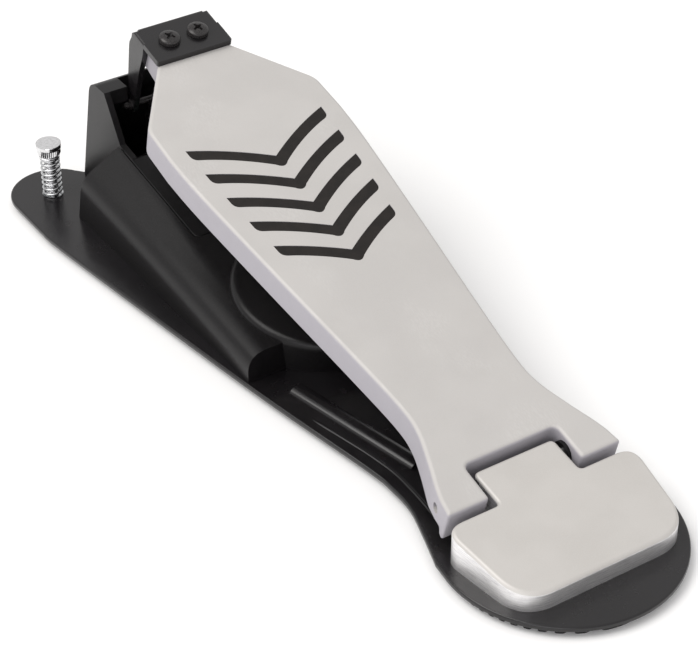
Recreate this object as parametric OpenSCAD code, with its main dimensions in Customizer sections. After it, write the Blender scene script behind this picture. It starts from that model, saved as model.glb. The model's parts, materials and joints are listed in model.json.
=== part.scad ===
// Hi-hat controller foot pedal: a hinged footboard over a flat steel base, with a
// moulded sensor housing at the toe and a fixed heel plate at the heel.
// +Y runs from the heel to the toe, +X is the player's right, +Z is up.
// The origin lies on the floor, under the middle of the whole pedal.

/* [Base plate] */
// Overall length of the pedal, heel to toe
base_len = 400; // [396:1:410]
// Greatest width, across the two anchor lobes at the toe
toe_w = 148; // [144:1:152]
// Width at the waist, just ahead of the heel plate
waist_w = 77.5; // [76:0.5:84]
// Radius of the round heel end
heel_r = 50.5; // [49.5:0.5:51.5]
// Thickness of the steel sheet
sheet_t = 2.3; // [2:0.1:3]
// Thickness of the rubber underneath, ribs included
rubber_t = 3; // [2.8:0.1:4]
// Height of the pressed stiffening beads and the raised middle panel
bead_h = 1.6; // [1:0.2:2.4]

/* [Heel plate] */
// Half width of the heel plate at its wide end
heel_hw = 46; // [44:0.5:47]
// Height of the heel plate's top above the base sheet, at the hinge end
heel_high = 18.8; // [18:0.2:19.4]
// Height of the heel plate's top above the base sheet, at the heel end
heel_low = 8.8; // [8:0.2:10]
// Half width of the tongue between the footboard's two ears
tongue_hw = 19.6; // [18.5:0.1:19.8]

/* [Footboard] */
// Slope of the footboard at rest, in degrees
board_tilt = 13.5; // [13.3:0.1:13.7]
// How far the footboard turns down when fully pressed, in degrees
press_deg = 5.5; // [3:0.1:5.5]
// Thickness of the footboard's top skin
skin_t = 3.2; // [2.6:0.1:3.4]
// Thickness of the footboard's side walls
side_t = 3; // [2.5:0.1:4]
// Depth of the footboard's side walls
skirt_h = 13; // [12:0.5:13.5]
// Number of grip chevrons
chevron_count = 5; // [3:1:5]
// Distance from one chevron to the next
chevron_pitch = 15.6; // [15:0.1:15.8]
// Depth of the chevron inlays
chevron_depth = 0.8; // [0.4:0.1:1.2]

/* [Hinge] */
// Diameter of the hinge shaft
shaft_d = 5; // [4:0.5:5]
// Running clearance on the radius
run_gap = 0.05; // [0.03:0.01:0.1]

/* [Toe bracket and spring] */
// Sheet thickness of the bracket
bracket_t = 2.8; // [2.4:0.1:2.8]
// Half width of the bracket over its two arms
bracket_hw = 19.3; // [19.2:0.1:20]
// Outer radius of the return spring
spring_r = 6.8; // [6:0.1:6.9]
// Wire diameter of the return spring
spring_wire = 1.4; // [1.2:0.1:1.4]
// Turns of the return spring
spring_turns = 5.5; // [4:0.5:5.5]

/* [Sensor housing] */
// Half width of the tower over its two side walls
tower_hw = 33.5; // [33:0.1:34]
// Height of the tower's top above the floor
tower_top = 63.8; // [62:0.1:64.5]
// Wall thickness of the moulded covers
wall = 2.5; // [2:0.1:2.8]
// Rise of the deck per millimetre towards the toe
deck_slope = 0.16; // [0.15:0.005:0.165]
// Height of the deck above the floor, at its heel end
deck_low = 19.3; // [18.5:0.1:19.6]
// Radius of the round housing at the deck's heel end
disc_r = 41; // [39:0.5:41]

/* [Anchor bolts] */
// Distance of each anchor bolt from the middle line
anchor_x = 54; // [53:0.5:55]
// Thread diameter of the anchor bolts
anchor_d = 6; // [5:0.5:6]
// Height of the anchor bolts' heads above the floor
anchor_top = 33.1; // [31:0.1:34]

/* [Hidden] */
$fn = 64;
eps = 0.01;

base_top = rubber_t + sheet_t;
heel_y = -base_len / 2 + heel_r;
lobe_r = 21;
anchor_y = base_len / 2 - lobe_r;

// Footboard frame: x across, u along the board, w out of its top face
board_y = -125.3;
board_z = base_top + 13.2;
board_w = 6.9;
ear_u = -6.3;
ear_in = 22.3;
notch_u = 11.9;
toe_u = 262;
tongue_end_u = 284.6;
pin_u = 284.4;
pin_w = -33;
pin_r = 1.5;

// Hinge axis, along X
hinge_u = 3.6;
hinge_w = -0.8;
hinge_y = board_y + hinge_u * cos(board_tilt) - hinge_w * sin(board_tilt);
hinge_z = board_z + hinge_u * sin(board_tilt) + hinge_w * cos(board_tilt);
shaft_r = shaft_d / 2;
bush_r = 3.8;
bush_len = 15;

// Centre of the return spring and its guide
spring_y = 160;
board_t = 1.6;
film_t = 0.5;
guide_r = 8.85;
plunger_top = 48.5;
plunger_low = 38;
plunger_cap = 2.5;
seat_top = base_top + board_t + film_t + 1.6;

// Tower and covers
lean = tan(board_tilt);
cover_hw = 51.6;
cover_toe_y = 144.2;
tongue_y = 74;
pit_y = 133;
deck_deg = atan(deck_slope);
disc_y = 22;
disc_rise = 3;
cushion_h = 16;

steel_black = [0.16, 0.15, 0.16];
plastic_black = [0.13, 0.12, 0.13];
silver = [0.80, 0.79, 0.77];
chrome = [0.85, 0.86, 0.88];
rubber_black = [0.09, 0.09, 0.09];
chevron_grey = [0.25, 0.23, 0.21];
nylon = [0.88, 0.87, 0.82];

// ---- Outline helpers -----------------------------------------------------------

function arc(c, r, a0, a1, n) =
    [for (i = [0:n]) let (a = a0 + (a1 - a0) * i / n) [c[0] + r * cos(a), c[1] + r * sin(a)]];

// One point of a Catmull-Rom curve between b and c
function smooth_point(a, b, c, d, t) =
    0.5 * (2 * b + (c - a) * t + (2 * a - 5 * b + 4 * c - d) * t * t + (3 * b - a - 3 * c + d) * t * t * t);

// A smooth curve through the given points, with n steps between neighbours
function smooth(p, n) = let (last = len(p) - 1) concat(
    [for (i = [0:last - 1], k = [0:n - 1])
        smooth_point(p[max(i - 1, 0)], p[i], p[i + 1], p[min(i + 2, last)], k / n)],
    [p[last]]);

// A rounded corner at b, starting and ending a distance d from it
function corner(a, b, c, d, n) =
    let (s = b + d * (a - b) / norm(a - b), e = b + d * (c - b) / norm(c - b))
    [for (i = [0:n]) let (t = i / n) (1 - t) * (1 - t) * s + 2 * t * (1 - t) * b + t * t * e];

// A right half of an outline, bottom to top, with its mirror image; points on the axis stay single
function mirrored(p) =
    concat(p, [for (i = [len(p) - 1:-1:0]) if (abs(p[i][0]) > eps) [-p[i][0], p[i][1]]]);

// ---- Base plate and rubber -----------------------------------------------------

// Right half of the base outline from the heel to the toe, moved in by d
function base_half(d) = let (lobe = [toe_w / 2 - lobe_r, anchor_y]) concat(
    arc([0, heel_y], heel_r - d, -90, 5, 22),
    smooth([
        [heel_r - 1.4 - d, heel_y + 14],
        [waist_w / 2 + 5 - d, -119],
        [waist_w / 2 + 0.8 - d, -104],
        [waist_w / 2 - d, -90],
        [waist_w / 2 + 1.7 - d, -72],
        [53 - d, 0],
        [toe_w / 2 - 2.6 - d, 128],
        [toe_w / 2 - 0.3 - d, 152]
    ], 5),
    arc(lobe, lobe_r - d, 0, 144, 18),
    smooth([[32.6, 187.4 - d], [26, 187.6 - d], [0, 187.8 - d]], 3));

module base_outline(d = 0) polygon(mirrored(base_half(d)));

module base_plate() color(steel_black) difference() {
    union() {
        translate([0, 0, rubber_t]) linear_extrude(sheet_t) base_outline();
        for (s = [-1, 1]) stiffening_bead(s);
    }
    for (s = [-1, 1]) translate([s * anchor_x, anchor_y, 0]) cylinder(r = 5, h = 20);
    for (p = heel_screw_places()) translate([p[0], p[1], 0]) cylinder(r = 2.6, h = 20);
    for (p = cover_screw_places()) translate([p[0], p[1], 0]) cylinder(r = 1.9, h = 20);
}

// A rounded bead pressed up beside the middle of the plate
module stiffening_bead(s) {
    length = norm([37 - 22, -15 + 84]);
    turn = atan2(37 - 22, -15 + 84);
    translate([s * 37, -15, base_top]) rotate([0, 0, 180 - s * turn]) difference() {
        rotate([-90, 0, 0]) cylinder(r = 4, h = length);
        translate([-10, -1, -20]) cube([20, length + 2, 20]);
        translate([-10, -1, bead_h + 0.9]) cube([20, length + 2, 20]);
    }
}

// Ribbed rubber sheet cut to the base outline between two stations
module ribbed_pad(y0, y1, inset, pitch = 4.3, rib_w = 2.5, back_t = 1.2) {
    rib_h = rubber_t - back_t;
    intersection() {
        linear_extrude(rubber_t) base_outline(inset);
        union() {
            translate([-100, y0, rib_h]) cube([200, y1 - y0, back_t]);
            for (y = [y0:pitch:y1 - rib_w]) translate([-100, y, 0]) cube([200, rib_w, rib_h + eps]);
        }
    }
}

module heel_rubber() color(rubber_black) difference() {
    ribbed_pad(heel_y - 48.1, -96, 2.4);
    for (p = heel_screw_places()) translate([p[0], p[1], -1]) cylinder(r = 5.4, h = 20);
}

module toe_rubber() color(rubber_black) difference() {
    ribbed_pad(132, 198, 3);
    for (s = [-1, 1]) translate([s * anchor_x, anchor_y, -1]) cylinder(r = 8, h = 20);
    translate([-27, 120, -1]) cube([54, 100, 20]);
}

function heel_screw_places() = [for (s = [-1, 1], y = [-146, -168]) [s * 27, y]];
function cover_screw_places() =
    concat([for (s = [-1, 1], y = [12, 104]) [s * 43.5, y]], [[-14, 8], [14, 8]]);

// A screw driven up from below, its pan head under the sheet
module screw_from_below(r, head_r, head_h, top) {
    translate([0, 0, rubber_t - head_h]) difference() {
        union() {
            cylinder(r = head_r, h = head_h);
            cylinder(r = r, h = top - rubber_t + head_h);
        }
        translate([0, 0, -eps]) for (a = [0, 90]) rotate(a) translate([-head_r * 0.55, -0.5, 0])
            cube([head_r * 1.1, 1, head_h * 0.6]);
    }
}

// ---- Heel plate and hinge ------------------------------------------------------

function heel_half() = let (front = -135.3, back = -179.2) concat(
    corner([0, back], [heel_hw - 6, back], [heel_hw, front], 15, 8),
    corner([heel_hw - 6, back], [heel_hw, front], [tongue_hw, front], 9, 6),
    corner([heel_hw, front], [tongue_hw, front], [tongue_hw, -118], 2, 3),
    corner([tongue_hw, front], [tongue_hw, -117.4], [0, -117.4], 3, 4));

heel_fall = (heel_high - heel_low) / (179.2 - 117.4);

module heel_plate() color(silver) difference() {
    translate([0, 0, base_top]) linear_extrude(40) polygon(mirrored(heel_half()));
    translate([0, -117.4, base_top + heel_high]) rotate([atan(heel_fall), 0, 0])
        translate([-100, -150, 0]) cube([200, 300, 60]);
    hinge_bore(shaft_r + 0.02, 100);
    for (p = heel_screw_places()) translate([p[0], p[1], 0]) cylinder(r = 2, h = base_top + 6.5);
    translate([0, hinge_y, 0]) cylinder(r = 2.1, h = hinge_z);
}

module heel_plate_screws() color(steel_black)
    for (p = heel_screw_places()) translate([p[0], p[1], 0]) screw_from_below(2, 4.2, 2.3, base_top + 6);

// A bar of the given radius and length, centred on the hinge axis
module hinge_bore(r, length)
    translate([-length / 2, hinge_y, hinge_z]) rotate([0, 90, 0]) cylinder(r = r, h = length);

module hinge_shaft() color(chrome) hinge_bore(shaft_r, 2 * (ear_in + bush_len - 0.4));

module hinge_bushes() color(plastic_black) for (s = [-1, 1]) on_hinge(s) difference() {
    union() {
        translate([0, 0, ear_in]) cylinder(r = bush_r, h = bush_len);
        translate([0, 0, ear_in - 1.6]) cylinder(r = 5, h = 1.6);
    }
    cylinder(r = shaft_r + run_gap, h = 60);
}

// Places a child that runs along +Z onto the hinge axis, on the left or the right
module on_hinge(s) translate([0, hinge_y, hinge_z]) rotate([0, s * 90, 0]) children();

module shaft_set_screw() color(steel_black) difference() {
    translate([0, hinge_y, base_top + 0.5]) cylinder(r = 2.1, h = hinge_z - shaft_r - base_top - 0.5);
    translate([0, hinge_y, base_top]) cylinder(r = 1.2, h = 3, $fn = 6);
}

// ---- Footboard -----------------------------------------------------------------

module on_board() translate([0, board_y, board_z]) rotate([board_tilt, 0, 0]) children();

// Right edge of the board from the ear to the toe tongue, moved in by d
function board_half(d) = concat(
    corner([30, ear_u], [42 - d, ear_u], [40.9 - d, -2.5], 1.8, 3),
    smooth([[40.5 - d, 1.6], [38.6 - d, 7.8], [33.8 - d, 21], [29.9 - d, 34], [29.1 - d, 47],
        [31.6 - d, 76], [37.4 - d, 131], [42.6 - d, 184], [43.9 - d, 208]], 4),
    corner([43.9 - d, 208], [43.4 - d, 229 - d], [18.4 - d, toe_u - d], 4, 5),
    [[17.6 - d, toe_u + 4], [16.4 - d, 276.5], [16.2 - d, tongue_end_u - d]]);

// Side view of the board: a lip hangs down at the end of the ears, and the hinge is in a deeper part
module board_profile() rotate([90, 0, 90]) translate([0, 0, -100]) linear_extrude(200)
    polygon(concat(
        corner([ear_u, 0], [ear_u, -8.5], [-2.9, -8.5], 1.5, 4),
        corner([ear_u, -8.5], [-2.9, -8.5], [-2.9, -5.2], 1.5, 4),
        [[-2.4, -5.4], [0, -5.3], [5, -6.3], [10, -7.6], [16, -7.3], [25, -6.6],
        [46, board_w - skirt_h], [400, board_w - skirt_h], [400, board_w], [ear_u, board_w]]));

module board_prism(d, w0, w1) translate([0, 0, w0]) linear_extrude(w1 - w0)
    polygon(mirrored(board_half(d)));

module footboard() color(silver) on_board() difference() {
    union() {
        difference() {
            intersection() {
                board_prism(0, -20, board_w);
                board_profile();
            }
            // hollow under the skin
            difference() {
                board_prism(side_t, -30, board_w - skin_t);
                translate([-100, -30, -40]) cube([200, notch_u + 5.5 + 30, 80]);
                for (u = [70, 105, 196, 232]) translate([-60, u, -30]) cube([120, 2.4, 60]);
                for (s = [-1, 1]) translate([s * 14 - 1.2, 0, -30]) cube([2.4, 130, 60]);
                for (s = [-1, 1]) translate([s * 8, pin_u - 10, -4]) cylinder(r = 4.2, h = 30);
            }
        }
    }
    // notch for the heel plate's tongue
    translate([0, 0, -40]) linear_extrude(80) polygon(mirrored(concat(
        [[ear_in + 1.8, -60]],
        corner([ear_in + 1.8, ear_u], [ear_in, ear_u], [ear_in, 0], 1.8, 4),
        corner([ear_in, 0], [ear_in, notch_u], [0, notch_u], 3.4, 5),
        [[0, notch_u]])));
    for (s = [-1, 1]) {
        translate([s * 7.3, pin_u - 10, -2]) cylinder(r = 2.2, h = 20);
        // bore for the bush, and a small hole on to the outside of the ear
        translate([0, hinge_u, hinge_w]) rotate([0, s * 90, 0]) {
            translate([0, 0, ear_in - 1]) cylinder(r = bush_r, h = bush_len + 1);
            cylinder(r = 2.2, h = 60);
        }
    }
    chevrons(board_w - chevron_depth, board_w + 1);
}

module chevrons(w0, w1) for (i = [0:chevron_count - 1]) translate([0, 0, w0])
    linear_extrude(w1 - w0) chevron_shape(i);

// Edges of a chevron's arm, at x from the middle: the one towards the heel, and towards the toe
function chevron_low(x, f) = f * (0.79 * x - 0.0065 * x * x) - 0.3;
function chevron_high(x, f) = f * (0.71 * x - 0.0048 * x * x) + 6.9;

// V outline: out along one edge from the apex to the tip, and back along the other
module chevron_shape(i) {
    apex_u = 184.7 - i * chevron_pitch;
    tip_x = 34.8 - 0.5 * i - 0.22 * i * i;
    f = 1 - 0.012 * i;
    half = concat(
        [[0, 0], [2, 0.9]],
        [for (k = [1:4]) let (x = k * (tip_x - 5) / 5) [x, chevron_low(x, f)]],
        corner([tip_x - 5, chevron_low(tip_x - 5, f)], [tip_x - 0.3, chevron_low(tip_x - 0.3, f)],
            [tip_x, chevron_high(tip_x, f)], 2.8, 4),
        [for (k = [6:-1:0]) let (x = k * tip_x / 6) [x, chevron_high(x, f)]]);
    translate([0, apex_u]) polygon(mirrored(half));
}

module chevron_inlays() color(chevron_grey) on_board() chevrons(board_w - chevron_depth, board_w - 0.15);

// ---- Toe bracket, arm pin and plunger ------------------------------------------

bracket_top = board_w + bracket_t;

module toe_bracket() color(steel_black) on_board() difference() {
    union() {
        // top plate, narrower where it turns down into the rear flange
        translate([-bracket_hw, 263.3, board_w]) cube([2 * bracket_hw, 21.7, bracket_t]);
        translate([-16.5, 280, board_w]) cube([33, 7.7, bracket_t]);
        translate([-16.5, 287.7 - bracket_t, -10]) cube([33, bracket_t, bracket_top + 10]);
        // arms
        for (s = [-1, 1]) translate([s * bracket_hw - (s > 0 ? bracket_t : 0), 0, 0])
            rotate([90, 0, 90]) linear_extrude(bracket_t)
            polygon([[277, bracket_top], [286.4, bracket_top], [287.8, 7.8], [287.9, 5.3], [289.4, 1.7],
                [289.6, -0.8], [288.4, -21.2], [287, pin_w - 3], [286, pin_w - 4.2], [283, pin_w - 4.2],
                [281.8, pin_w - 3], [280.3, -20.7], [278.9, -7.3], [277, 2.5]]);
    }
    for (s = [-1, 1]) translate([s * 7.3, pin_u - 10, 0]) cylinder(r = 2.7, h = 20);
    translate([-60, pin_u, pin_w]) rotate([0, 90, 0]) cylinder(r = pin_r + 0.02, h = 120);
}

// Cross recess for a screwdriver, cut down from z = 0
module cross_recess(size, depth) translate([0, 0, -depth]) for (a = [0, 90]) rotate(a)
    translate([-size / 2, -size / 8, 0]) cube([size, size / 4, depth + 1]);

module pan_screw(r, head_r, head_h, length) difference() {
    union() {
        translate([0, 0, -length]) cylinder(r = r, h = length + eps);
        intersection() {
            cylinder(r = head_r, h = head_h);
            translate([0, 0, head_h - 2.1 * head_r]) sphere(r = 2.1 * head_r, $fn = 96);
        }
    }
    translate([0, 0, head_h]) cross_recess(5.4, 2);
}

module bracket_screws() color(steel_black) on_board() for (s = [-1, 1])
    translate([s * 7.3, pin_u - 10, bracket_top]) pan_screw(2.2, 5, 3.4, 9);

module along_pin(x) on_board() translate([x, pin_u, pin_w]) rotate([0, 90, 0]) children();

module arm_pin() color(steel_black) along_pin(-22.4) {
    cylinder(r = pin_r, h = 44.8);
    for (z = [-0.6, 44.8]) translate([0, 0, z]) cylinder(r = pin_r - 0.3, h = 0.6);
}

module pin_clips() color(steel_black) for (x = [-bracket_hw - 0.8, bracket_hw]) along_pin(x) difference() {
    cylinder(r = 2.6, h = 0.8);
    translate([0, 0, -1]) cylinder(r = pin_r, h = 3);
}

module pin_sleeve() color(plastic_black) along_pin(-6) difference() {
    cylinder(r = 4, h = 12);
    translate([0, 0, -1]) cylinder(r = pin_r, h = 20);
}

module plunger() color(plastic_black) translate([0, spring_y, 0]) difference() {
    translate([0, 0, plunger_low]) cylinder(r = guide_r - run_gap, h = plunger_top - plunger_low);
    translate([0, 0, plunger_low - 1]) cylinder(r = 7.3, h = plunger_top - plunger_low - plunger_cap + 1);
}

module spring_guide() color(plastic_black) translate([0, spring_y, 0]) difference() {
    union() {
        translate([0, 0, base_top + board_t]) cylinder(r = 10.4, h = 41 - base_top - board_t);
        translate([0, 0, base_top + board_t]) cylinder(r = 14, h = 2);
    }
    cylinder(r = guide_r, h = 60);
    translate([-30, -3.5, 23]) cube([60, 7, 40]);
}

module spring_seat() color(nylon) translate([0, spring_y, base_top + board_t + film_t]) {
    cylinder(r = guide_r - 0.15, h = 1.6);
    cylinder(r = 4.4, h = 3.2);
}

module force_sensor() color([0.78, 0.55, 0.2]) translate([0, spring_y, base_top + board_t])
    cylinder(r = guide_r - 0.5, h = film_t);

module sensor_board() color([0.1, 0.35, 0.2]) difference() {
    translate([-26, 139, base_top]) cube([52, 36, board_t]);
    for (s = [-1, 1]) translate([s * 21.5, 143.5, 0]) cylinder(r = 1.6, h = 20);
}

module board_screws() color(chrome) for (s = [-1, 1]) translate([s * 21.5, 143.5, base_top + board_t])
    difference() {
        union() {
            translate([0, 0, -board_t]) cylinder(r = 1.5, h = board_t + eps);
            cylinder(r = 2.8, h = 1.8);
        }
        translate([0, 0, 1.8]) cross_recess(3, 1);
    }

// A round wire wound into an upright coil: ends at z0 and z1 are the wire's outside
module coil(mean_r, wire, turns, z0, z1, rings = 14, sides = 8) {
    n = round(turns * rings);
    rise = z1 - z0 - wire;
    pts = [for (i = [0:n], k = [0:sides - 1])
        let (a = 360 * turns * i / n, b = 360 * k / sides, r = mean_r + wire / 2 * cos(b))
        [r * cos(a), r * sin(a), z0 + wire / 2 + rise * coil_rise(i / n, turns) + wire / 2 * sin(b)]];
    quads = [for (i = [0:n - 1], k = [0:sides - 1])
        let (a = i * sides, b = a + sides, m = (k + 1) % sides) each
        [[a + k, a + m, b + m], [a + k, b + m, b + k]]];
    caps = [[for (k = [sides - 1:-1:0]) k], [for (k = [0:sides - 1]) n * sides + k]];
    polyhedron(points = pts, faces = concat(quads, caps));
}

// Height along the coil, from 0 to 1, with a flatter turn at each end
function coil_rise(t, turns) = let (e = 0.8 / turns)
    t < e ? 0.5 * t * t / e / (1 - e) :
    t > 1 - e ? 1 - 0.5 * (1 - t) * (1 - t) / e / (1 - e) :
    (t - 0.5 * e) / (1 - e);

module return_spring() color(chrome) translate([0, spring_y, 0])
    coil(spring_r - spring_wire / 2, spring_wire, spring_turns, seat_top, plunger_top - plunger_cap);

// ---- Sensor housing ------------------------------------------------------------

function deck_z(y) = deck_low + deck_slope * y;

// Right half of the cover's cross-section at station y, shrunk by d: side, shoulder, top
function cover_half(y, d) =
    let (f = y / cover_toe_y, hw = cover_hw + 1.6 * f - d, top = deck_z(y) - d,
        edge_z = deck_low + 9.4 * f - d, flat_x = 38 - 3.5 * f - 0.3 * d, soft = 9.5 - 2.5 * f)
    concat(
        [[hw, base_top - (d > 0 ? 1 : 0)]],
        corner([hw, base_top], [hw, edge_z], [flat_x, top], soft, 6),
        corner([hw, edge_z], [flat_x, top], [0, top], 3, 2));

// The cross-sections are stood up along Y and lean more and more towards the toe
module cover_loft(y0, y1, d, steps = 4) {
    secs = [for (j = [0:steps]) let (y = y0 + (y1 - y0) * j / steps, l = lean * y / cover_toe_y)
        [for (p = mirrored(cover_half(y, d))) [p[0], y + (deck_z(y) - p[1]) * l, p[1]]]];
    n = len(secs[0]);
    quads = [for (j = [0:steps - 1], i = [0:n - 1])
        let (a = j * n + i, b = j * n + (i + 1) % n) each [[a, b, b + n], [a, b + n, a + n]]];
    caps = [[for (i = [n - 1:-1:0]) i], [for (i = [0:n - 1]) steps * n + i]];
    polyhedron(points = [for (s = secs) each s], faces = concat(quads, caps));
}

module on_deck(y) translate([0, y, deck_z(y)]) rotate([deck_deg, 0, 0]) children();

// Everything from the floor up to the deck's underside
module under_deck(drop) multmatrix([[1, 0, 0, 0], [0, 1, 0, 0], [0, deck_slope, 1, 0]])
    translate([-100, -100, -80]) cube([200, 400, 80 + deck_low - drop]);

module lower_cover() color(plastic_black) difference() {
    union() {
        cover_loft(0, cover_toe_y, 0);
        round_housing(0);
    }
    // hollow, except for the screw bosses
    difference() {
        union() {
            intersection() {
                cover_loft(-5, cover_toe_y - wall, wall);
                translate([-100, wall, 0]) cube([200, 200, 100]);
            }
            round_housing(wall);
        }
        for (p = cover_screw_places()) translate([p[0], p[1], -5]) cylinder(r = 3.6, h = 60);
    }
    // opening for the tower and its tongue
    translate([0, 0, -10]) linear_extrude(100) polygon(mirrored(concat(
        corner([0, tongue_y - 0.3], [tower_hw + 0.6, tongue_y - 0.3], [tower_hw + 0.6, 200], 3, 4),
        [[tower_hw + 0.6, 200]])));
    for (p = cover_screw_places()) translate([p[0], p[1], 0]) cylinder(r = 1.5, h = base_top + 9);
    on_jack_face() translate([0, 0, -10]) cylinder(r = 4.6, h = 20);
}

// Round housing at the heel end of the deck, shrunk by d
module round_housing(d) intersection() {
    on_deck(disc_y) rotate_extrude() polygon(concat([[0, -60], [disc_r - d, -60]],
        corner([disc_r - d, -60], [disc_r - d, disc_rise - d], [0, disc_rise - d], 4, 6),
        [[0, disc_rise - d]]));
    translate([-100, -100, base_top - (d > 0 ? 1 : 0)]) cube([200, 400, 100]);
}

// Side view of the tower, in y and z
tower_back_low = 185.8;
tower_back_high = 171.8;
tower_side = concat(
    [[pit_y, base_top], [pit_y, 0.1 + deck_z(pit_y)], [cover_toe_y, deck_z(cover_toe_y)],
        [157.2, tower_top]],
    corner([157.2, tower_top], [tower_back_high, tower_top], [tower_back_low, base_top], 7.4, 6),
    [[tower_back_low, base_top]]);

module tower_block() translate([-tower_hw, 0, 0]) rotate([90, 0, 90]) linear_extrude(2 * tower_hw)
    polygon(tower_side);

module tower_housing() color(plastic_black) difference() {
    union() {
        tower_block();
        // tongue that fills the deck
        intersection() {
            linear_extrude(100) polygon(mirrored(concat(
                corner([0, tongue_y], [tower_hw + 0.3, tongue_y], [tower_hw + 0.3, 200], 3, 4),
                [[tower_hw + 0.3, 140], [tower_hw, 140]])));
            difference() {
                under_deck(0);
                under_deck(wall);
            }
        }
    }
    // inside of the tower, open towards the heel and upwards, with a thick lip beside each arm
    difference() {
        tower_pit();
        translate([-100, 0, 0]) cube([200, pit_y + wall, deck_z(pit_y) - 3]);
        for (x = [-40, 21.5]) translate([x, 157.2, 56.5]) cube([18.5, 30, 30]);
    }
}

module tower_pit() translate([-tower_hw + 3, 0, 0]) rotate([90, 0, 90]) linear_extrude(2 * tower_hw - 6)
    polygon([[pit_y - 0.5, -1], [pit_y, 80], [165.6, 80], [167.4, tower_top - 9],
        [tower_back_low - 4, -1]]);

module cover_screws() color(steel_black)
    for (p = cover_screw_places()) translate([p[0], p[1], 0]) screw_from_below(1.5, 3.2, 1.8, base_top + 8);

module stop_cushion() color(rubber_black) on_deck(disc_y) translate([0, 0, disc_rise]) {
    cylinder(r = 9, h = cushion_h);
    cylinder(r = 12, h = 2.5);
}

// ---- Output jack ---------------------------------------------------------------

jack_x = 42.5;
jack_z = 19.5;
function face_y(z) = cover_toe_y + (deck_z(cover_toe_y) - z) * lean;

// Frame on the right-hand toe face of the cover, +Z out of the face
module on_jack_face() translate([jack_x, face_y(jack_z), jack_z]) rotate([board_tilt - 90, 0, 0]) children();

module output_jack() color(plastic_black) on_jack_face() difference() {
    union() {
        translate([-6.2, -6.2, -wall - 24]) cube([12.4, 12.4, 23.4]);
        translate([0, 0, -wall - 1]) cylinder(r = 4.5, h = wall + 5.4);
    }
    translate([0, 0, -22]) cylinder(r = 3.25, h = 40);
}

module jack_washer() color(chrome) on_jack_face() difference() {
    cylinder(r = 7, h = 0.8);
    translate([0, 0, -1]) cylinder(r = 4.5, h = 5);
}

module jack_nut() color(chrome) on_jack_face() difference() {
    translate([0, 0, 0.8]) cylinder(r = 7, h = 2.4, $fn = 6);
    cylinder(r = 4.5, h = 10);
}

// ---- Anchor bolts --------------------------------------------------------------

washer_t = 0.8;
head_h = 6.5;
head_low = anchor_top - head_h;
washer_low = head_low - washer_t - 0.05;

module at_anchor(s) translate([s * anchor_x, anchor_y, 0]) children();

// Knob with a straight knurl below and a smooth collar at the top
module knurled_head(r, h, teeth = 36) {
    collar_h = 2.3;
    translate([0, 0, 0.5]) linear_extrude(h - collar_h - 0.5)
        polygon([for (i = [0:4 * teeth - 1]) let (a = 360 * i / (4 * teeth), q = i % 4 < 2 ? r : r - 0.35)
            [q * cos(a), q * sin(a)]]);
    cylinder(r1 = r - 0.9, r2 = r - 0.35, h = 0.5);
    translate([0, 0, h - collar_h]) cylinder(r = r + 0.6, h = collar_h - 0.3);
    translate([0, 0, h - 0.3]) cylinder(r1 = r + 0.6, r2 = r + 0.3, h = 0.3);
}

module anchor_bolt(s) color(chrome) at_anchor(s) {
    translate([0, 0, head_low]) knurled_head(5.5, head_h);
    translate([0, 0, 4.2]) cylinder(r = anchor_d / 2 - run_gap, h = head_low - 4.2);
    translate([0, 0, 0.2]) cylinder(r1 = 0.4, r2 = anchor_d / 2 - run_gap, h = 4);
}

module anchor_washer(s) color(chrome) at_anchor(s) translate([0, 0, washer_low]) difference() {
    cylinder(r = 5, h = washer_t);
    translate([0, 0, -1]) cylinder(r = anchor_d / 2 + 0.05, h = 5);
}

module anchor_spring(s) color(chrome) at_anchor(s)
    coil(4.3, 1.1, 8, base_top, washer_low, 12);

module anchor_nuts() color(chrome) for (s = [-1, 1]) at_anchor(s) difference() {
    union() {
        translate([0, 0, 0.8]) cylinder(r = 6.8, h = rubber_t - 0.8);
        translate([0, 0, 0.8]) cylinder(r = 5, h = base_top - 0.8);
    }
    cylinder(r = anchor_d / 2, h = 20);
}

base_plate();
heel_rubber();
toe_rubber();
heel_plate();
heel_plate_screws();
footboard();
chevron_inlays();
hinge_shaft();
hinge_bushes();
shaft_set_screw();
toe_bracket();
bracket_screws();
arm_pin();
pin_clips();
pin_sleeve();
plunger();
spring_guide();
return_spring();
spring_seat();
force_sensor();
sensor_board();
board_screws();
lower_cover();
tower_housing();
cover_screws();
stop_cushion();
output_jack();
jack_washer();
jack_nut();
anchor_nuts();
anchor_bolt(-1);  // anchor_bolt_left
anchor_bolt(1);  // anchor_bolt_right
anchor_washer(-1);  // anchor_washer_left
anchor_washer(1);  // anchor_washer_right
anchor_spring(-1);  // anchor_spring_left
anchor_spring(1);  // anchor_spring_right
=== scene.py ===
import json
import math

import bmesh
import bpy
from mathutils import Matrix, Vector


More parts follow.
